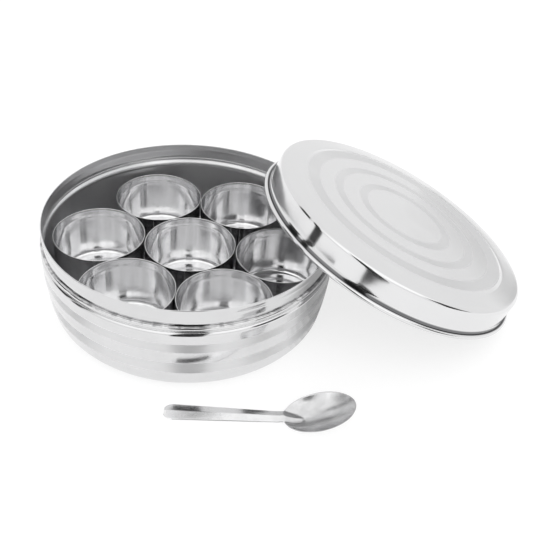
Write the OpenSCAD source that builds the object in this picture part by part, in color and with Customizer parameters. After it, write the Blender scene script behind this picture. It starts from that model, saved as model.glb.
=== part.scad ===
// Round spice box of polished steel sheet. Seven loose cups stand inside a box with a stepped neck. The domed
// lid leans against the box's rim, with its rolled edge on the table, and a small spoon lies in front.
// Everything stands on z = 0, and the origin is at the bottom centre of the whole set.

/* [Box] */
// Outer radius of the neck that the lid slides over
neck_r = 100; // [90:1:110]
// Height of the box from the table to its rim
box_h = 70; // [66:1:80]
// Thickness of the sheet that the box and the lid are pressed from
sheet = 0.7; // [0.5:0.1:0.8]
// How far the belly stands out past the neck
belly_out = 1.5; // [1.4:0.1:2]
// Radius of the belly's upright curve, seen from the side
belly_curve_r = 230; // [200:10:300]
// Radius of the rounded bottom corner
corner_r = 12; // [9:1:14]
// Height of the raised floor above the table, inside the ring that the box stands on
floor_rise = 5; // [4:0.5:6]

/* [Cups] */
// Height of a cup
cup_h = 40.5; // [38:0.5:45]
// Thickness of the cups' sheet
cup_sheet = 0.5; // [0.4:0.1:0.7]
// Radius of a cup's rounded bottom corner
cup_corner_r = 4; // [3:0.5:8]
// Direction of the first outer cup, counted from +X towards +Y
first_cup_angle = 51; // [0:1:60]
// Angle from one outer cup to the next
cup_step_angle = 59.5; // [59.5:0.1:60]

/* [Lid] */
// Height of the lid above the middle of its rolled edge
lid_h = 22.6; // [20:0.1:26]
// Radius of the lid's rounded shoulder
shoulder_r = 3; // [2:0.5:8]
// Radius of the rolled edge's own round section
roll_r = 1.6; // [1.4:0.1:2]
// Angle that the leaning lid makes with the table
lid_lean = 22.6; // [22:0.1:23.2]
// Direction that the lid leans away in, counted from +X towards +Y
lid_direction = 5; // [0:1:10]

/* [Spoon] */
// Length of the spoon
spoon_length = 119; // [110:1:130]
// Width of the handle at its free end
handle_end_w = 13; // [9:0.2:14]
// Width of the handle where it meets the bowl
handle_neck_w = 9; // [6:0.2:10]
// Width of the bowl
bowl_w = 32; // [26:0.5:34]
// Length of the bowl
bowl_length = 44; // [40:1:52]
// Depth of the bowl below its edge
bowl_depth = 6.6; // [5:0.2:7]
// Angle that the bowl's edge rises at from the handle to the tip
bowl_tilt = 19.2; // [10:0.2:22]
// Thickness of the spoon's sheet
spoon_sheet = 1; // [0.8:0.1:1.2]

/* [Hidden] */
$fn = 96;

// Air left between two loose pieces that rest on or lean against each other
rest_gap = 0.3;

// Box: heights are measured down from the rim, where the lid fits
groove_drop = 11.9;
groove_depth = 0.3;
bead_drop = 14.1;
belly_drop = 20;
groove_r = 0.9;
bead_r = 1.6;
bead_out = 1.35;
belly_shoulder_r = 3;
belly_r = neck_r + belly_out;
belly_top = box_h - belly_drop;
belly_turn = asin((belly_top - corner_r) / (belly_curve_r - corner_r));
corner_centre_r = belly_r - belly_curve_r + (belly_curve_r - corner_r) * cos(belly_turn);
recess_r = corner_centre_r - 4;
recess_bend_r = 2;
floor_top = floor_rise + sheet;

// Cups: three radii and two gaps fill the space from the box's axis to the wall beside a cup's bottom corner
cup_wall_gap = 0.35;
cup_centre_gap = 0.85;
cup_base = floor_top + rest_gap;
cup_corner_drop = belly_top - cup_base - cup_corner_r;
cup_wall_r = belly_r - belly_curve_r + sqrt(pow(belly_curve_r, 2) - pow(cup_corner_drop, 2)) - sheet;
mouth_r = neck_r - groove_depth - sheet;
cup_r = (min(cup_wall_r, mouth_r) - cup_wall_gap - cup_centre_gap) / 3;
cup_ring_r = 2 * cup_r + cup_centre_gap;
cup_bead_drop = 7;
cup_bead_r = 4;
cup_bead_depth = 0.15;
cup_bead_turn = acos(1 - cup_bead_depth / cup_bead_r);
cup_disc_r = cup_r * 0.68;
cup_disc_rise = 0.6;

// Lid: its own frame has z = 0 at the middle of the rolled edge
lid_slip = 0.5;
skirt_r = neck_r + lid_slip + sheet;
roll_ring_r = skirt_r + roll_r + 0.35;
disc_r = skirt_r * 0.825;
disc_step = 0.6;
crown_fall = 1.2;
shoulder_top = lid_h - disc_step - crown_fall;
flare_z = 3.1;
lid_z = roll_r + roll_ring_r * sin(lid_lean);

// Spoon: its own frame has x along the spoon from the handle's end, and z = 0 on the table
spoon_at = [-18, -115.5];
spoon_turn = -6.6;
bowl_start = spoon_length - bowl_length;
bowl_centre = spoon_length - bowl_length / 2;
neck_rise = 1.2;
neck_bend = 2.5;
outline_blend = 3;
ridge_h = 1.1;
tongue_length = 13;
spoon_steps = 44;
spoon_cells = 12;

// Points on an arc from angle a to angle b, in n steps
function arc(centre, r, a, b, n) =
    [for (i = [0 : n]) let (t = a + (b - a) * i / n) centre + r * [cos(t), sin(t)]];

// Unit vector to the left of the way from p to q
function left_of(p, q) = let (d = (q - p) / norm(q - p)) [-d.y, d.x];

// Inward offset of a sheet's point i, from the mean direction of its two neighbours
function inner_point(path, i, t) =
    let (
        before = i == 0 ? [-path[1].x, path[1].y] : path[i - 1],
        after = i == len(path) - 1 ? 2 * path[i] - path[i - 1] : path[i + 1]
    )
    path[i] + t * left_of(before, after);

// Closed section of a sheet of thickness t, whose outer face follows the path and whose body lies to its left
function sheet_section(path, t) =
    concat(path, [for (i = [len(path) - 1 : -1 : 0]) inner_point(path, i, t)]);

// Outer face of the box, from the middle of its base to its rim
box_path = concat(
    [[0, floor_rise]],
    arc([recess_r - recess_bend_r, floor_rise - recess_bend_r], recess_bend_r, 90, 0, 5),
    arc([recess_r + recess_bend_r, recess_bend_r], recess_bend_r, 180, 270, 5),
    arc([corner_centre_r, corner_r], corner_r, -90, -belly_turn, 10),
    arc([belly_r - belly_curve_r, belly_top], belly_curve_r, -belly_turn * 0.8, 0, 4),
    arc([belly_r - belly_shoulder_r, belly_top], belly_shoulder_r, 15, 66, 3),
    arc([neck_r + bead_out - bead_r, box_h - bead_drop], bead_r, -34, 70, 6),
    arc([neck_r - groove_depth + groove_r, box_h - groove_drop], groove_r, 215, 132, 4),
    [[neck_r, box_h]]
);

// Outer face of a cup, from the middle of its base to its rim
cup_path = concat(
    [[0, cup_disc_rise], [cup_disc_r - 1, cup_disc_rise], [cup_disc_r + 1, 0]],
    arc([cup_r - cup_corner_r, cup_corner_r], cup_corner_r, -90, 0, 8),
    arc([cup_r - cup_bead_depth + cup_bead_r, cup_h - cup_bead_drop], cup_bead_r,
        180 + cup_bead_turn, 180 - cup_bead_turn, 4),
    [[cup_r, cup_h]]
);

// Outer face of the lid, from its rolled edge up and in to the middle of its top
lid_path = concat(
    arc([skirt_r + roll_r + 0.2, flare_z], roll_r + 0.2, 262, 180, 5),
    arc([skirt_r - shoulder_r, shoulder_top - shoulder_r], shoulder_r, 0, 84, 10),
    [[disc_r + 1, lid_h - disc_step], [disc_r - 0.5, lid_h], [0, lid_h]]
);

// The lid's section lies below its outer face, so its path is mirrored at the end on the axis
function lid_section(t) =
    let (turned = [for (i = [len(lid_path) - 1 : -1 : 0]) [lid_path[i].x, -lid_path[i].y]])
    [for (p = sheet_section(turned, t)) [p.x, -p.y]];

// A point on the lid's rolled edge, with the lid's centre d from the box's axis along +X
function roll_point(d, t) = [
    d + roll_ring_r * cos(t) * cos(lid_lean),
    roll_ring_r * sin(t),
    lid_z - roll_ring_r * cos(t) * sin(lid_lean)
];

// Distance from a point to the outside of the neck or to its rim
function rim_distance(p) =
    let (out = norm([p.x, p.y]) - neck_r)
    p.z > box_h ? norm([out, p.z - box_h]) : abs(out);

// Air between the rolled edge and the rim at the closest of its points
function lid_gap(d) = min([for (t = [90 : 0.5 : 180]) rim_distance(roll_point(d, t))]) - roll_r;

// Distance at which the lid just leans on the rim, halving the bracket n times
function lean_distance(near, far, n) =
    let (d = (near + far) / 2)
    n == 0 ? far : lid_gap(d) > rest_gap ? lean_distance(near, d, n - 1) : lean_distance(d, far, n - 1);

lid_distance = lean_distance(neck_r * 1.35, neck_r * 1.75, 16);
lid_at = lid_distance * [cos(lid_direction), sin(lid_direction)];

// Spoon: half width of its outline at a distance s along it
function bowl_half(s) =
    let (u = (s - bowl_centre) / (bowl_length / 2))
    bowl_w / 2 * sqrt(max(0, 1 - u * u));
function handle_half(s) =
    let (
        full = (handle_end_w + (handle_neck_w - handle_end_w) * s / bowl_start) / 2,
        end = min(1, 0.12 + s / 7)
    )
    s > bowl_start + tongue_length ? 0 : full * sqrt(1 - pow(1 - end, 2));
function spoon_half(s) = max(0.8, pow(
    pow(bowl_half(s), outline_blend) + pow(handle_half(s), outline_blend),
    1 / outline_blend
));

// Height of the spoon's edge: the handle's slope, and from the neck on the bowl's steeper one
function edge_height(s) =
    let (
        handle_slope = neck_rise / bowl_start,
        past = (s - bowl_start) / neck_bend
    )
    handle_slope * s + (tan(bowl_tilt) - handle_slope) * neck_bend * ln(1 + exp(past));

// Height of the spoon's upper face at the share v of the half width
function drop_at(s, v) =
    let (u = (s - bowl_centre) / (bowl_length / 2))
    s < bowl_start ? 0 : bowl_depth * max(0, 1 - u * u) * (1 - v * v);
function ridge_height(s, v) =
    let (
        fade = min(1, max(0, (bowl_start + tongue_length - s) / tongue_length)),
        across = abs(v) * spoon_half(s) / max(handle_half(s), 1)
    )
    ridge_h * sqrt(fade) * max(0, 1 - across);
function upper_face(s, v) = spoon_sheet + edge_height(s) - drop_at(s, v) + ridge_height(s, v);

// Places of the spoon's cross sections, closer together towards both ends
function section_place(i) = spoon_length * (1 - cos(180 * i / spoon_steps)) / 2;
function section_share(j) = 2 * j / spoon_cells - 1;
function spoon_point(i, j, drop) =
    let (s = section_place(i), v = section_share(j))
    [s, v * spoon_half(s), upper_face(s, v) - drop];

spoon_row = 2 * (spoon_cells + 1);
spoon_points = [
    for (i = [0 : spoon_steps]) each concat(
        [for (j = [0 : spoon_cells]) spoon_point(i, j, 0)],
        [for (j = [spoon_cells : -1 : 0]) spoon_point(i, j, spoon_sheet)]
    )
];
spoon_low = min([for (p = spoon_points) p.z]);

// Two triangles for the side of the spoon between two cross sections, and fans for its two ends
function side_faces(i, j) =
    let (
        a = i * spoon_row + j,
        b = i * spoon_row + (j + 1) % spoon_row,
        c = b + spoon_row,
        d = a + spoon_row
    )
    [[a, c, b], [a, d, c]];
function end_faces(i, flip) =
    let (a = i * spoon_row)
    [
        for (j = [0 : spoon_cells - 1]) each let (
            p = a + j,
            q = a + j + 1,
            r = a + spoon_row - 2 - j,
            s = a + spoon_row - 1 - j
        )
        flip ? [[p, r, q], [p, s, r]] : [[p, q, r], [p, r, s]]
    ];
spoon_faces = concat(
    [for (i = [0 : spoon_steps - 1], j = [0 : spoon_row - 1]) each side_faces(i, j)],
    end_faces(0, false),
    end_faces(spoon_steps, true)
);

// Middle of the whole set, seen from above. Along +X, the lid's shoulder or its rolled edge reaches furthest
roll_reach_x = roll_r + roll_ring_r * norm([cos(lid_lean) * cos(lid_direction), sin(lid_direction)]);
shoulder_reach_x = shoulder_r
    + (skirt_r - shoulder_r) * norm([cos(lid_lean) * cos(lid_direction), sin(lid_direction)])
    + (shoulder_top - shoulder_r) * sin(lid_lean) * cos(lid_direction);
roll_reach_y = roll_r + roll_ring_r * norm([cos(lid_lean) * sin(lid_direction), cos(lid_direction)]);
spoon_front = spoon_at.y + min([for (p = spoon_points) p.x * sin(spoon_turn) + p.y * cos(spoon_turn)]);
set_middle = [
    (lid_at.x + max(roll_reach_x, shoulder_reach_x) - belly_r) / 2,
    (lid_at.y + roll_reach_y + spoon_front) / 2
];

// Carries a piece from the box's axis to its place in the set
module in_set(place = [0, 0], height = 0) {
    translate([place.x - set_middle.x, place.y - set_middle.y, height]) children();
}

module box() {
    color("silver") in_set() rotate_extrude() polygon(sheet_section(box_path, sheet));
}

module cup(place) {
    color("gainsboro") in_set(place, cup_base) rotate_extrude() polygon(sheet_section(cup_path, cup_sheet));
}

// One of the outer cups, counted round from the first
module outer_cup(number) {
    angle = first_cup_angle + number * cup_step_angle;
    cup(cup_ring_r * [cos(angle), sin(angle)]);
}

module cup_centre() {
    cup([0, 0]);
}

module cup_back_right() {
    outer_cup(0);
}

module cup_back_left() {
    outer_cup(1);
}

module cup_left() {
    outer_cup(2);
}

module cup_front_left() {
    outer_cup(3);
}

module cup_front_right() {
    outer_cup(4);
}

module cup_right() {
    outer_cup(5);
}

module lid() {
    color("whitesmoke") in_set(lid_at, lid_z) rotate([0, 0, lid_direction]) rotate([0, lid_lean, 0])
        union() {
            rotate_extrude() polygon(lid_section(sheet));
            rotate_extrude() translate([roll_ring_r, 0]) circle(r = roll_r, $fn = 32);
        }
}

module spoon() {
    color("lightgray") in_set(spoon_at, -spoon_low) rotate([0, 0, spoon_turn])
        polyhedron(spoon_points, spoon_faces);
}

box();
lid();
cup_centre();
cup_back_right();
cup_back_left();
cup_left();
cup_front_left();
cup_front_right();
cup_right();
spoon();
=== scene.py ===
"""Looks for the steel spice box: a box with seven loose cups, a lid that leans on its rim, and a spoon.

Every piece is a sheet-metal shell built from its own outline, and stands for one CAD node. Sizes in the
outlines are in millimetres and are scaled to metres when a mesh is made. Places come from the boxes of the
CAD parts in model.glb.
"""

import math

import bpy
import numpy as np
from mathutils import Matrix, Vector


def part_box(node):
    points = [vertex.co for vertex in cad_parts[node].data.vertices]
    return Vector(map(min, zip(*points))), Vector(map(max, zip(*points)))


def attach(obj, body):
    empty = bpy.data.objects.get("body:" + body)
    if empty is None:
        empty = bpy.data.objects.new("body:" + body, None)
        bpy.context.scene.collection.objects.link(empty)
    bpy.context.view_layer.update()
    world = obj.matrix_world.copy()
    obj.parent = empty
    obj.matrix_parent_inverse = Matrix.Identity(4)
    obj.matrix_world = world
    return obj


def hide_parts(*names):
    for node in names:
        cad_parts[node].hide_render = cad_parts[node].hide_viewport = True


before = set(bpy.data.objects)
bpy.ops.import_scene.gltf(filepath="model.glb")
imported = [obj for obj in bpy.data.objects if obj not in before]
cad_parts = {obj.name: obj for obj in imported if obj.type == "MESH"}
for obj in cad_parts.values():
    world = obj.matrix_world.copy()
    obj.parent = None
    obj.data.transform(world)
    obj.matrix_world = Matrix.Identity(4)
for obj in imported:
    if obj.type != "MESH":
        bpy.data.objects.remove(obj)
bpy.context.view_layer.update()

MM = 0.001
TAU = 2 * math.pi

# How far a piece stays inside each side of its CAD box, in metres
HAIR = 0.000001

# UV length for each millimetre of outline, and the longest step along an outline in millimetres
UV_UNIT = 0.01
LONGEST_STEP = 2.5


# ---------------------------------------------------------------- outlines

def arc(centre, radius, start, end, steps):
    """Points on an arc, with the angles in degrees."""
    angles = np.radians(np.linspace(start, end, steps + 1))
    return [(centre[0] + radius * math.cos(a), centre[1] + radius * math.sin(a)) for a in angles]


def dense(path, longest):
    """The path with its long straight stretches cut into shorter ones."""
    out = [path[0]]
    for p, q in zip(path, path[1:]):
        pieces = max(1, math.ceil(math.dist(p, q) / longest))
        out += [tuple(np.add(p, np.subtract(q, p) * k / pieces)) for k in range(1, pieces + 1)]
    return out


def rounded_sheet(path, thickness, edge_steps=6):
    """Closed outline of a sheet: its first face along the path, a rounded free edge at the path's end, and
    its other face back to the axis. The sheet's body lies to the left of the path."""
    points = np.array(path)
    before = np.vstack([points[1] * (-1, 1), points[:-1]])
    after = np.vstack([points[1:], 2 * points[-1] - points[-2]])
    way = after - before
    way /= np.linalg.norm(way, axis=1)[:, None]
    left = np.stack([-way[:, 1], way[:, 0]], axis=1)
    inner = points + thickness * left
    middle, half = points[-1] + left[-1] * thickness / 2, thickness / 2
    turn = np.linspace(0, math.pi, edge_steps + 1)[1:-1]
    edge = [middle + half * (-left[-1] * math.cos(t) + way[-1] * math.sin(t)) for t in turn]
    return np.vstack([points, edge, inner[::-1]])


# ---------------------------------------------------------------- meshes

def fitted(points, node):
    """The points moved to the middle of the CAD node's box, and drawn in by the hundredths of a millimetre
    by which the uneven shell would pass that box."""
    low, high = (np.array(corner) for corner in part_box(node))
    least, most = points.min(axis=0), points.max(axis=0)
    share = np.minimum(1.0, (high - low - 2 * HAIR) / (most - least))
    return (low + high) / 2 + (points - (least + most) / 2) * share


def make_object(name, own, faces, corner_uvs, node, turn=Matrix()):
    """A smooth-shaded object in the row frame, turned and placed on the CAD node's box. own holds its points
    in millimetres in the piece's own frame, and is kept for the materials."""
    placed = fitted(own @ np.array(turn.to_3x3()).T * MM, node)
    mesh = bpy.data.meshes.new(name)
    mesh.from_pydata(placed.tolist(), [], faces)
    kept = mesh.attributes.new("own", "FLOAT_VECTOR", "POINT")
    kept.data.foreach_set("vector", (own * MM).astype(np.float32).ravel())
    layer = mesh.uv_layers.new(name="along_around")
    layer.data.foreach_set("uv", np.array(corner_uvs, dtype=np.float32).ravel())
    mesh.shade_smooth()
    obj = bpy.data.objects.new(name, mesh)
    bpy.context.scene.collection.objects.link(obj)
    return obj


def revolve(name, outline, steps, node, shift=None, turn=Matrix()):
    """A closed shell of revolution. The outline runs from the axis to the axis. shift(r, z, angle) gives the
    small change of r and z that takes the shell away from a perfect turning."""
    rings = np.array(outline[1:-1])
    gaps = np.linalg.norm(np.diff(rings, axis=0), axis=1)
    along = np.concatenate([[0], np.cumsum(gaps)]) * UV_UNIT
    angle = np.linspace(0, TAU, steps, endpoint=False)
    r = np.repeat(rings[:, 0:1], steps, axis=1)
    z = np.repeat(rings[:, 1:2], steps, axis=1)
    if shift:
        dr, dz = shift(r, z, angle[None, :])
        r, z = r + dr, z + dz
    grid = np.stack([r * np.cos(angle), r * np.sin(angle), z], axis=-1).reshape(-1, 3)
    poles = np.array([(0, 0, outline[0][1]), (0, 0, outline[-1][1])])
    faces, uvs = [], []
    for i in range(len(rings) - 1):
        a, near, far = i * steps, along[i], along[i + 1]
        for k in range(steps):
            j = (k + 1) % steps
            faces.append((a + k, a + j, a + steps + j, a + steps + k))
            left, right = k / steps, (k + 1) / steps
            uvs += [(near, left), (near, right), (far, right), (far, left)]
    first, last = len(grid), len(grid) + 1
    end = (len(rings) - 1) * steps
    for k in range(steps):
        j = (k + 1) % steps
        left, right = k / steps, (k + 1) / steps
        faces += [(first, j, k), (last, end + k, end + j)]
        uvs += [(-0.1, left), (0, right), (0, left)]
        uvs += [(along[-1] + 0.1, left), (along[-1], left), (along[-1], right)]
    return make_object(name, np.vstack([grid, poles]), faces, uvs, node, turn)


def finish_piece(obj, node, material):
    """Lets the object stand for the CAD node, on the node's own body."""
    obj.data.materials.append(material)
    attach(obj, node)
    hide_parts(node)


def face_length(outline):
    """How far the first face of a sheet's outline runs from its second point to its edge, as UV length."""
    half = np.array(outline[1:len(outline) // 2])
    return np.linalg.norm(np.diff(half, axis=0), axis=1).sum() * UV_UNIT


def ripple(seed, waves, size):
    """A seamless, slightly uneven height round the piece: a sum of waves with fixed random phases."""
    rng = np.random.default_rng(seed)
    phases = rng.uniform(0, TAU, len(waves))
    weights = rng.uniform(0.4, 1.0, len(waves))
    total = weights.sum()

    def height(angle):
        return size * sum(w * np.sin(n * angle + p) for n, p, w in zip(waves, phases, weights)) / total

    return height


# ---------------------------------------------------------------- box

NECK_R = 100.0
BOX_H = 70.0
SHEET = 0.7
BELLY_R = 101.5
BELLY_CURVE_R = 230.0
CORNER_R = 12.0
FLOOR_RISE = 5.0
BELLY_TOP = BOX_H - 20.0
GROOVE_Z = BOX_H - 11.9
BEAD_Z = BOX_H - 14.1
HEM_Z = BOX_H - 4.0


def box_outline():
    """Outer face of the box from the middle of its base to its rim, and back inside."""
    turn = math.degrees(math.asin((BELLY_TOP - CORNER_R) / (BELLY_CURVE_R - CORNER_R)))
    corner_x = BELLY_R - BELLY_CURVE_R + (BELLY_CURVE_R - CORNER_R) * math.cos(math.radians(turn))
    recess = corner_x - 4
    path = [(0, FLOOR_RISE), (recess * 0.5, FLOOR_RISE)]
    path += arc((recess - 2, FLOOR_RISE - 2), 2, 90, 0, 10)
    path += arc((recess + 2, 2), 2, 180, 270, 10)
    path += arc((corner_x, CORNER_R), CORNER_R, -90, -turn, 30)
    path += arc((BELLY_R - BELLY_CURVE_R, BELLY_TOP), BELLY_CURVE_R, -turn * 0.97, 0, 30)
    path += arc((BELLY_R - 3, BELLY_TOP), 3, 8, 72, 10)
    path += arc((NECK_R, BEAD_Z + 0.3), 1.5, -38, 62, 14)
    path += arc((NECK_R + 0.6, GROOVE_Z), 0.9, 222, 138, 8)
    path += [(NECK_R, HEM_Z - 0.5), (NECK_R - 0.12, HEM_Z), (NECK_R, HEM_Z + 0.4)]
    path += [(NECK_R, BOX_H - SHEET / 2)]
    return rounded_sheet(dense(path, LONGEST_STEP), SHEET)


def box_shift():
    """The groove is pressed a little unevenly, and the belly and neck are a little out of true."""
    crease = ripple(3, [23, 37, 53, 71, 89, 113], 0.10)
    wander = ripple(4, [5, 11, 17, 31], 0.25)
    belly = ripple(5, [2, 3, 5, 8, 13], 0.07)
    neck = ripple(6, [3, 4, 7, 11, 19], 0.06)

    def shift(r, z, angle):
        at_groove = np.exp(-(((z - GROOVE_Z) / 1.3) ** 2)) * (r > NECK_R - SHEET)
        on_belly = np.clip((z - 4) / 10, 0, 1) * np.clip((BEAD_Z - z) / 6, 0, 1) * (r > 90)
        on_neck = np.clip((z - GROOVE_Z) / 6, 0, 1) * (r > 90)
        dr = crease(angle) * at_groove + belly(angle + z / 60) * on_belly + neck(angle) * on_neck
        return dr, wander(angle) * at_groove

    return shift


# ---------------------------------------------------------------- cups

CUP_H = 40.5
CUP_SHEET = 0.5
CUP_CORNER_R = 4.0
CUP_R = 32.03
CUP_BEAD_Z = CUP_H - 7
CUPS = ("centre", "back_right", "back_left", "left", "front_left", "front_right", "right")


def cup_outline():
    """Outer face of a cup from the middle of its base to its rim, and back inside."""
    disc = CUP_R * 0.68
    rise = 0.6
    path = [(0, rise), (disc - 4, rise)]
    path += [(disc - 4 + 8 * t, rise * (1 + math.cos(math.pi * t)) / 2) for t in np.linspace(0.1, 0.9, 9)]
    path += arc((CUP_R - CUP_CORNER_R, CUP_CORNER_R), CUP_CORNER_R, -90, 0, 18)
    path += [(CUP_R - bead, CUP_BEAD_Z + z) for z, bead in soft_bead(0.10, 1.6)]
    path += [(CUP_R, CUP_H - CUP_SHEET / 2)]
    return rounded_sheet(dense(path, LONGEST_STEP), CUP_SHEET, 4)


def soft_bead(depth, half_width):
    """Heights and depths across a shallow pressed bead."""
    return [(z, depth * math.exp(-((z / half_width) ** 2))) for z in np.linspace(-2.2, 2.2, 13) * half_width]


def cup_shift(seed):
    """A thin drawn cup is a little out of round."""
    wall = ripple(seed, [2, 3, 4, 6, 9], 0.09)

    def shift(r, z, angle):
        return wall(angle + z / 90) * np.clip(z / CUP_H, 0, 1) * (r > 20), 0 * z

    return shift


# ---------------------------------------------------------------- lid

LID_H = 22.6
SHOULDER_R = 3.0
ROLL_R = 1.6
LID_LEAN = 22.6
LID_DIRECTION = 5.0
SKIRT_R = NECK_R + 0.5 + SHEET
ROLL_RING_R = SKIRT_R + ROLL_R + 0.35
DISC_R = SKIRT_R * 0.825
SHOULDER_TOP = LID_H - 1.8


def lid_outline():
    """Outer face of the lid from the middle of its top, over the shoulder and down the skirt, with the edge
    rolled outwards and up to the skirt. It is drawn upside down, so the sheet lies to the path's left."""
    curl_r = ROLL_R - SHEET
    foot = ROLL_RING_R - curl_r
    path = [(0, -LID_H), (DISC_R * 0.5, -LID_H), (DISC_R - 2.2, -LID_H)]
    path += arc((DISC_R - 1.6, 1.2 - LID_H), 1.2, -90, -62, 4)
    path += arc((DISC_R + 1.4, -0.6 - LID_H), 1.2, 118, 84, 4)
    path += [(DISC_R + 4, 0.75 - LID_H)]
    path += arc((SKIRT_R - SHOULDER_R, SHOULDER_R - SHOULDER_TOP), SHOULDER_R, -84, 0, 24)
    for t in np.linspace(0, 1, 9):
        path.append((SKIRT_R + (foot - SKIRT_R) * (1 - math.cos(math.pi * t)) / 2, 4.6 * t - 5))
    path += arc((ROLL_RING_R, 0), curl_r, 180, -132, 34)
    return rounded_sheet(dense(path, LONGEST_STEP), SHEET, 4)


def lid_shift():
    """The lid's top and skirt are a little out of true."""
    skirt = ripple(8, [2, 3, 5, 7, 11, 16], 0.09)
    top = ripple(9, [2, 3, 4, 5], 0.12)

    def shift(r, z, angle):
        on_skirt = np.clip((r - 90) / 8, 0, 1)
        return skirt(angle) * on_skirt, top(angle) * np.clip(r / 60, 0, 1) * (1 - on_skirt)

    return shift


def lid():
    """The lid, tilted as it leans on the box's rim."""
    outline = lid_outline() * (1, -1)
    tip = Matrix.Rotation(math.radians(LID_LEAN), 3, "Y")
    lean = Matrix.Rotation(math.radians(LID_DIRECTION), 3, "Z") @ tip
    return revolve("lid_shell", outline[::-1], 384, "lid", lid_shift(), lean)


# ---------------------------------------------------------------- spoon

SPOON_LENGTH = 119.0
BOWL_LENGTH = 44.0
BOWL_START = SPOON_LENGTH - BOWL_LENGTH
BOWL_W = 32.0
BOWL_DEPTH = 6.6
BOWL_SLOPE = math.tan(math.radians(19.2))
HANDLE_END_W = 13.0
HANDLE_NECK_W = 9.0
NECK_RISE = 1.2
NECK_BEND = 2.5
RIDGE = 1.1
SPOON_SHEET = 1.0
TONGUE = 13.0
SPOON_TURN = -6.6


def spoon_half_widths(s):
    """Half widths of the handle or its tongue and of the whole outline, and the place along the bowl from -1
    to 1, at the distances s along the spoon."""
    u = (s - SPOON_LENGTH + BOWL_LENGTH / 2) / (BOWL_LENGTH / 2)
    bowl = BOWL_W / 2 * np.sqrt(np.clip(1 - u * u, 0, None))
    straight = (HANDLE_END_W + (HANDLE_NECK_W - HANDLE_END_W) * s / BOWL_START) / 2
    end = np.clip(0.12 + s / 7, None, 1)
    handle = np.where(s > BOWL_START + TONGUE, 0, straight * np.sqrt(1 - (1 - end) ** 2))
    return handle, np.maximum(0.8, (bowl**3 + handle**3) ** (1 / 3)), u


def spoon():
    """One stamped sheet: a folded handle whose ridge runs into an oval bowl as a tongue."""
    sections, cells = 220, 56
    s = SPOON_LENGTH * (1 - np.cos(math.pi * np.linspace(0, 1, sections))) / 2
    v = np.sin(math.pi / 2 * np.linspace(-1, 1, cells + 1))
    handle, half, u = spoon_half_widths(s)
    slope = NECK_RISE / BOWL_START
    edge = slope * s + (BOWL_SLOPE - slope) * NECK_BEND * np.logaddexp(0, (s - BOWL_START) / NECK_BEND)
    depth = np.where(s < BOWL_START, 0, BOWL_DEPTH * np.clip(1 - u * u, 0, None))
    fade = np.sqrt(np.clip((BOWL_START + TONGUE - s) / TONGUE, 0, 1))
    across = np.abs(v)[None, :] * (half / np.maximum(handle, 1))[:, None]
    ridge = RIDGE * fade[:, None] * np.clip(1 - across, 0, None)
    middle = SPOON_SHEET / 2 + edge[:, None] - depth[:, None] * (1 - v**2)[None, :] + ridge
    rounded = np.clip(np.abs(v) - 0.93, 0, None) / 0.07
    thin = np.sqrt(np.clip(1 - rounded**2, 0.01, 1)) * SPOON_SHEET / 2
    x = np.repeat(s[:, None], cells + 1, axis=1)
    y = half[:, None] * v[None, :]
    upper = np.stack([x, y, middle + thin], axis=-1)
    lower = np.stack([x, y, middle - thin], axis=-1)[:, ::-1]
    points = np.concatenate([upper, lower], axis=1)
    around = points.shape[1]
    points = points.reshape(-1, 3)
    faces = []
    for i in range(sections - 1):
        a = i * around
        for k in range(around):
            j = (k + 1) % around
            faces.append((a + k, a + around + k, a + around + j, a + j))
    last = (sections - 1) * around
    faces += [tuple(range(around)), tuple(last + k for k in reversed(range(around)))]
    uvs = [(points[p][0] / 100, points[p][1] / 100) for face in faces for p in face]
    turn = Matrix.Rotation(math.radians(SPOON_TURN), 3, "Z")
    return make_object("spoon_stamped", points, faces, uvs, "spoon", turn)


# ---------------------------------------------------------------- materials

class Nodes:
    """A short way to write a shader's nodes."""

    def __init__(self, owner):
        owner.use_nodes = True
        self.owner = owner
        self.tree = owner.node_tree

    def put(self, socket, value):
        if isinstance(value, bpy.types.NodeSocket):
            self.tree.links.new(value, socket)
        else:
            socket.default_value = value

    def add(self, kind, inputs=(), out=0, **settings):
        node = self.tree.nodes.new("ShaderNode" + kind)
        for key, value in settings.items():
            setattr(node, key, value)
        for key, value in dict(inputs).items():
            self.put(node.inputs[key], value)
        return node.outputs[out]

    def math(self, operation, a, b=0.0):
        return self.add("Math", {0: a, 1: b}, operation=operation)

    def ramp(self, value, low, high, to_low=0.0, to_high=1.0):
        inputs = {"Value": value, "From Min": low, "From Max": high, "To Min": to_low, "To Max": to_high}
        return self.add("MapRange", inputs, interpolation_type="SMOOTHSTEP")

    def blend(self, share, a, b):
        """Colour a at share 0 and colour b at share 1."""
        node = self.add("Mix", data_type="RGBA").node
        for socket, value in ((0, share), (6, a), (7, b)):
            self.put(node.inputs[socket], value)
        return node.outputs[2]

    def band(self, value, low, high, soft):
        """1 between low and high, with soft edges."""
        rise = self.ramp(value, low - soft, low + soft)
        return self.math("MULTIPLY", rise, self.ramp(value, high - soft, high + soft, 1.0, 0.0))

    def bands(self, value, places, soft):
        """1 inside any of the bands, which lie apart."""
        total = self.band(value, *places[0], soft)
        for place in places[1:]:
            total = self.math("ADD", total, self.band(value, *place, soft))
        return total

    def noise(self, point, stretch, scale, detail=3.0):
        scaled = self.add("VectorMath", {0: point, 1: stretch}, operation="MULTIPLY")
        return self.add("TexNoise", {"Vector": scaled, "Scale": scale, "Detail": detail})

    def mix(self, share, a, b):
        return self.add("Mix", {"Factor": share, "A": a, "B": b})


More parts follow.
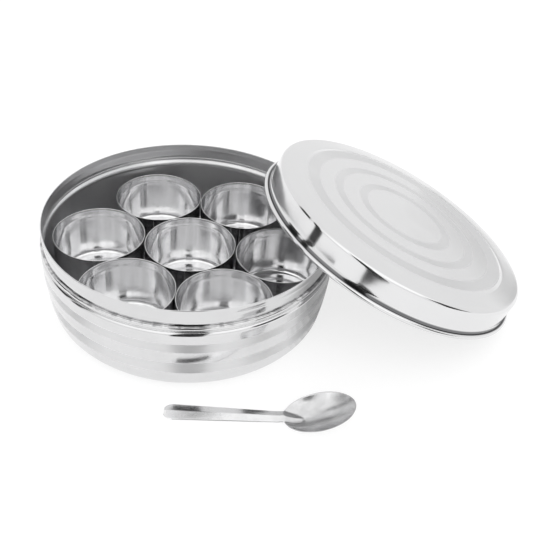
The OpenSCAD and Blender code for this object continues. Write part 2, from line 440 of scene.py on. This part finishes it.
class Steel(Nodes):
    """Polished sheet steel with the marks of its making. The tangent runs along the piece's outline, so that
    the anisotropic shine spreads across the turned marks and not along them."""

    def __init__(self, name):
        super().__init__(bpy.data.materials.new(name))
        self.shader = self.tree.nodes["Principled BSDF"]
        self.set("Metallic", 1.0)
        self.set("Tangent", self.add("Tangent", direction_type="UV_MAP", uv_map="along_around"))
        self.own = self.add("Attribute", out=1, attribute_name="own")
        parts = self.add("SeparateXYZ", {0: self.own}).node.outputs
        self.lengthwise = parts[0]
        self.height = parts[2]
        flat = self.add("CombineXYZ", {0: parts[0], 1: parts[1]})
        self.across = self.add("VectorMath", {0: flat}, out=1, operation="LENGTH")
        uv = self.add("UVMap", uv_map="along_around")
        self.along = self.add("SeparateXYZ", {0: uv})

    def set(self, name, value):
        self.put(self.shader.inputs[name], value)

    def tint(self, light, dark, share):
        """Colour between two greys, by a share from 0 for light to 1 for dark."""
        self.set("Base Color", self.blend(share, (*light, 1), (*dark, 1)))

    def darken(self, share):
        """Darkens what the colour already is."""
        before = self.shader.inputs["Base Color"].links[0].from_socket
        self.set("Base Color", self.blend(share, before, (*DARKEST, 1)))

    def relief(self, height, strength, distance):
        self.set("Normal", self.add("Bump", {"Height": height, "Strength": strength, "Distance": distance}))


# Steel greys, from the cleanest polish to the darkest grey, which gives the painted shade in the lid's
# crevice and inside the lid and the dark line along the box's groove
CLEAN = (0.88, 0.88, 0.885)
BRIGHT = (0.77, 0.77, 0.775)
DULL = (0.66, 0.66, 0.665)
SHADED = (0.58, 0.58, 0.585)
CUP_LIGHT = (0.84, 0.84, 0.845)
CUP_DARK = (0.75, 0.75, 0.755)
SPOON_LIGHT = (0.93, 0.93, 0.935)
SPOON_DARK = (0.70, 0.70, 0.705)
DARKEST = (0.12, 0.12, 0.125)

# Where the turned satin bands begin and end: heights on the belly and radii on the lid, in metres
BELLY_BANDS = ((0.0365, 0.0440), (0.0170, 0.0270))
LID_RINGS = ((0.0315, 0.0385), (0.0520, 0.0590), (0.0715, 0.0815))

# How far along an outline one face gives way to the other, as UV length
FACE_CHANGE = 0.001

# Where the look changes, in metres: at the foot of the box's neck, where the polish turns greyer, above the
# lid's rolled edge, where the inside's satin and painted shade begin, at the lid's top, and in the crevice
# between the rolled edge and the skirt, where painted shade lies
NECK_FOOT = (0.0575, 0.0590)
ROLL_END = (0.0025, 0.0035)
LID_TOP_START = (0.0205, 0.0215)
CREVICE_HEIGHTS = (0.0009, 0.0034)
CREVICE_RADII = (0.1008, 0.1031)


def box_steel(outer_length):
    """Polished outside with two satin bands turned round the belly and a ragged dark line along the pressed
    groove;
    the inside is left satin."""
    m = Steel("box_finish")
    outside = m.ramp(m.along, outer_length, outer_length + FACE_CHANGE, 1.0, 0.0)
    satin = m.math("MULTIPLY", m.bands(m.height, BELLY_BANDS, 0.0003), outside)
    turned = m.noise(m.own, (1, 1, 60), 60, 4)
    wear = m.noise(m.own, (1, 1, 1), 45, 4)
    polish = m.mix(satin, m.ramp(wear, 0.3, 0.7, 0.10, 0.16), m.ramp(turned, 0.3, 0.7, 0.40, 0.46))
    m.set("Roughness", m.mix(outside, m.ramp(wear, 0.3, 0.7, 0.30, 0.38), polish))
    m.set("Anisotropic", m.mix(satin, 0.3, 1.0))
    ragged = m.ramp(m.noise(m.own, (1, 1, 1), 260, 4), 0.2, 0.8, -0.0007, 0.0007)
    groove = m.band(m.math("ADD", m.height, ragged), (GROOVE_Z - 0.7) * MM, (GROOVE_Z + 0.4) * MM, 0.0005)
    patches = m.ramp(m.noise(m.own, (1, 1, 2), 70, 4), 0.38, 0.62, 0.15, 0.70)
    polished_grey = m.ramp(m.height, *NECK_FOOT, 0.54, 0.64)
    grey = m.mix(satin, m.mix(outside, 0.30, polished_grey), 0.20)
    m.tint(CLEAN, SHADED, m.math("ADD", grey, m.math("MULTIPLY", m.ramp(wear, 0.35, 0.75), 0.12)))
    # The outside darkens in ragged patches along the pressed groove.
    m.darken(m.math("MULTIPLY", m.math("MULTIPLY", groove, patches), outside))
    waves = m.noise(m.own, (1, 1, 1.6), 30, 2)
    m.relief(m.math("MULTIPLY", waves, m.mix(outside, 0.2, 0.6)), 0.05, 0.002)
    return m.owner


def lid_steel(inner_length):
    """Polish with three broad satin rings on the top and a dark line of painted shade where the rolled edge
    meets the skirt; the inside is left satin and is painted darker, as painted shade under the leaning lid."""
    m = Steel("lid_finish")
    inner_face = m.ramp(m.along, inner_length, inner_length + FACE_CHANGE, 1.0, 0.0)
    # Inside the lid, above the rolled edge: satin, and painted darker as shade under the leaning lid.
    inside = m.math("MULTIPLY", inner_face, m.ramp(m.height, *ROLL_END))
    on_top = m.ramp(m.height, *LID_TOP_START)
    rings = m.bands(m.across, LID_RINGS, 0.0006)
    satin = m.math("MAXIMUM", m.math("MULTIPLY", rings, on_top), inside)
    wear = m.noise(m.own, (1, 1, 1), 40, 4)
    polish = m.mix(on_top, m.ramp(wear, 0.3, 0.7, 0.08, 0.13), m.ramp(wear, 0.3, 0.7, 0.16, 0.22))
    m.set("Anisotropic", m.mix(satin, 0.2, 0.8))
    m.set("Roughness", m.mix(satin, polish, m.ramp(wear, 0.3, 0.7, 0.36, 0.42)))
    m.tint(BRIGHT, DULL, m.math("ADD", m.math("MULTIPLY", satin, 0.35), m.math("MULTIPLY", wear, 0.3)))
    # Painted shade: a dark line in the crevice where the rolled edge meets the skirt, and a darker inside
    # for the shade under the leaning lid.
    low_down = m.band(m.height, *CREVICE_HEIGHTS, 0.0005)
    crevice = m.math("MULTIPLY", low_down, m.band(m.across, *CREVICE_RADII, 0.0003))
    m.darken(m.math("MAXIMUM", m.math("MULTIPLY", crevice, 0.9), m.math("MULTIPLY", inside, 0.30)))
    waves = m.noise(m.own, (1, 1, 1.6), 26, 2)
    m.relief(waves, 0.05, 0.002)
    return m.owner


def cup_steel():
    """Bright drawn steel with faint marks up the wall and turned marks on the floor."""
    m = Steel("cup_finish")
    streaks = m.noise(m.own, (1, 1, 0.05), 260, 3)
    wear = m.noise(m.own, (1, 1, 1), 60, 3)
    worn = m.math("ADD", m.math("MULTIPLY", streaks, 0.6), m.math("MULTIPLY", wear, 0.4))
    m.set("Roughness", m.ramp(worn, 0.3, 0.7, 0.09, 0.18))
    m.set("Anisotropic", 0.2)
    m.tint(CUP_LIGHT, CUP_DARK, m.ramp(worn, 0.3, 0.7))
    m.relief(streaks, 0.06, 0.0006)
    return m.owner


def spoon_steel():
    """Tumbled steel, softer than the box's, and greyer in the bowl than on the handle."""
    m = Steel("spoon_finish")
    grain = m.noise(m.own, (0.25, 1, 1), 500, 2)
    wear = m.noise(m.own, (1, 1, 1), 120, 3)
    in_bowl = m.ramp(m.lengthwise, (BOWL_START - 4) * MM, (BOWL_START + 4) * MM)
    worn = m.ramp(wear, 0.3, 0.7)
    m.set("Roughness", m.ramp(m.math("ADD", worn, in_bowl), 0.0, 2.0, 0.14, 0.26))
    m.set("Anisotropic", 0.2)
    handle_grey = m.math("MULTIPLY", worn, 0.3)
    bowl_grey = m.ramp(worn, 0.0, 1.0, 0.6, 1.0)
    m.tint(SPOON_LIGHT, SPOON_DARK, m.mix(in_bowl, handle_grey, bowl_grey))
    m.relief(grain, 0.04, 0.0003)
    return m.owner


# ---------------------------------------------------------------- studio

# Dark and grey cards round the set: the bearings they stand between, counted from +X towards +Y, how high
# they begin and end, all in degrees, their distance in metres and their brightness
CARDS = (
    (-116, -96, 0, 52, 0.32, 0.03),
    (184.5, 193, 0, 40, 1.00, 0.03),
    (163, 178, 3, 40, 2.60, 0.05),
    (-48, -22, 2, 32, 2.60, 0.05),
    (28, 52, 0, 8, 0.60, 0.70),
)

# The floor's grey and its own glow, and the tent's brightness all round and above the camera
FLOOR_GREY = (0.35, 0.35, 0.35, 1)
FLOOR_GLOW = 0.72
TENT_LIGHT = 0.97
LIGHT_ABOVE_CAMERA = 1.32

# The shade under the lid as discs on the table, each with its radius in metres and its brightness, and how
# far apart in height they lie
SHADE_DISCS = ((0.104, 0.90), (0.098, 0.80), (0.090, 0.68), (0.080, 0.55), (0.068, 0.42))
DISC_GAP = 0.00003

# The camera's place from the middle of the box's rim in metres, its angles in degrees and its lens
CAMERA_PLACE = (-0.01192, -0.43557, 0.29606)
CAMERA_YAW = 10.29
CAMERA_PITCH = 38.61
CAMERA_ROLL = 6.32
CAMERA_LENS = 48.57


def light_only(obj):
    """Only the steel's reflections see this object."""
    obj.visible_camera = False
    obj.visible_diffuse = False
    obj.visible_shadow = False


def glow(name, level):
    """A material that gives off an even grey light."""
    n = Nodes(bpy.data.materials.new(name))
    n.tree.nodes.clear()
    light = n.add("Emission", {"Color": (1, 1, 1, 1), "Strength": level})
    n.put(n.tree.nodes.new("ShaderNodeOutputMaterial").inputs["Surface"], light)
    return n.owner


def card(name, points, faces, level):
    """A glowing grey card that only shows in reflections."""
    mesh = bpy.data.meshes.new(name)
    mesh.from_pydata(points, [], faces)
    mesh.materials.append(glow(name, level))
    obj = bpy.data.objects.new(name, mesh)
    bpy.context.scene.collection.objects.link(obj)
    light_only(obj)
    return obj


def curved_card(name, west, east, low, high, distance, level):
    """A card that is part of a dome round the set, between two bearings and two heights."""
    columns, rows = 24, 12
    bearings = np.radians(np.linspace(west, east, columns + 1))
    heights = np.radians(np.linspace(low, high, rows + 1))
    points = []
    for h in heights:
        reach, z = distance * math.cos(h), distance * math.sin(h)
        points += [(reach * math.cos(b), reach * math.sin(b), z) for b in bearings]
    faces = []
    for i in range(rows):
        a = i * (columns + 1)
        faces += [(a + k, a + k + 1, a + columns + k + 2, a + columns + k + 1) for k in range(columns)]
    card(name, points, faces, level)


def studio_floor():
    """A plain white table top just under everything that stands on it. It glows, to keep shadows faint."""
    size, gap = 12.0, 0.0002
    mesh = bpy.data.meshes.new("studio_floor")
    corners = [(-size, -size, -gap), (size, -size, -gap), (size, size, -gap), (-size, size, -gap)]
    mesh.from_pydata(corners, [], [(0, 1, 2, 3)])
    floor = bpy.data.objects.new("studio_floor", mesh)
    bpy.context.scene.collection.objects.link(floor)
    n = Nodes(bpy.data.materials.new("studio_floor"))
    shader = n.tree.nodes["Principled BSDF"]
    n.put(shader.inputs["Base Color"], FLOOR_GREY)
    n.put(shader.inputs["Roughness"], 0.9)
    n.put(shader.inputs["Specular IOR Level"], 0.0)
    n.put(shader.inputs["Emission Color"], (1, 1, 1, 1))
    n.put(shader.inputs["Emission Strength"], FLOOR_GLOW)
    mesh.materials.append(n.owner)


def shade_under_lid():
    """The table top is darker in reflections under the leaning lid, where little light gets in."""
    low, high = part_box("lid")
    x, y = (low[0] + high[0]) / 2 - 0.012, (low[1] + high[1]) / 2
    turns = np.linspace(0, TAU, 48, endpoint=False)
    for number, (radius, level) in enumerate(SHADE_DISCS):
        z = (number - len(SHADE_DISCS)) * DISC_GAP
        points = [(x + radius * math.cos(t), y + radius * math.sin(t), z) for t in turns]
        card(f"shade_under_lid_{number + 1}", points, [tuple(range(48))], level)


def studio_light():
    """A white tent lights the set, more strongly from above the camera. The cards show as dark strips."""
    world = bpy.data.worlds.new("studio_tent")
    bpy.context.scene.world = world
    n = Nodes(world)
    way = n.add("SeparateXYZ", {0: n.add("TexCoord")}).node.outputs
    in_front = n.ramp(way[1], 0.10, -0.50)
    raised = n.ramp(way[2], 0.30, 0.60)
    background = n.tree.nodes["Background"]
    n.put(background.inputs["Color"], (1, 1, 1, 1))
    above_camera = n.math("MULTIPLY", in_front, raised)
    strength = n.ramp(above_camera, 0.0, 1.0, TENT_LIGHT, LIGHT_ABOVE_CAMERA)
    n.put(background.inputs["Strength"], strength)
    for number, place in enumerate(CARDS):
        curved_card(f"card_{number + 1}", *place)


def studio_camera():
    """The camera stands in front of the box and a little to its left, rolled by a few degrees."""
    low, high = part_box("box")
    rim = Vector(((low[0] + high[0]) / 2, (low[1] + high[1]) / 2, high[2]))
    yaw = math.radians(CAMERA_YAW)
    pitch = math.radians(CAMERA_PITCH)
    roll = math.radians(CAMERA_ROLL)
    ahead = Vector((math.sin(yaw) * math.cos(pitch), math.cos(yaw) * math.cos(pitch), -math.sin(pitch)))
    level = ahead.cross(Vector((0, 0, 1))).normalized()
    upright = level.cross(ahead)
    right = math.cos(roll) * level + math.sin(roll) * upright
    up = -math.sin(roll) * level + math.cos(roll) * upright
    data = bpy.data.cameras.new("camera")
    data.sensor_width = 36.0
    data.lens = CAMERA_LENS
    data.clip_start = 0.01
    camera = bpy.data.objects.new("camera", data)
    bpy.context.scene.collection.objects.link(camera)
    turn = Matrix((right, up, -ahead)).transposed().to_4x4()
    camera.matrix_world = Matrix.Translation(rim + Vector(CAMERA_PLACE)) @ turn
    bpy.context.scene.camera = camera
    camera_body(camera.matrix_world)


def camera_body(place):
    """A small dark card for the body of the camera, just behind its lens."""
    half_w, half_h, behind = 0.035, 0.025, 0.01
    signs = ((-1, -1), (1, -1), (1, 1), (-1, 1))
    corners = [tuple(place @ Vector((a * half_w, b * half_h, behind))) for a, b in signs]
    card("camera_body", corners, [(0, 1, 2, 3)], 0.02)


# ---------------------------------------------------------------- scene

studio_camera()
studio_floor()
studio_light()
shade_under_lid()
bpy.context.scene.view_settings.view_transform = "Standard"
bpy.context.scene.cycles.glossy_bounces = 12

box_shape = box_outline()
box_shell = revolve("box_shell", box_shape, 384, "box", box_shift())
finish_piece(box_shell, "box", box_steel(face_length(box_shape)))
cup_finish = cup_steel()
for number, place in enumerate(CUPS):
    node = "cup_" + place
    shell = revolve(node + "_shell", cup_outline(), 160, node, cup_shift(20 + number))
    finish_piece(shell, node, cup_finish)
lid_inside = face_length(lid_outline()[::-1])
finish_piece(lid(), "lid", lid_steel(lid_inside))
finish_piece(spoon(), "spoon", spoon_steel())
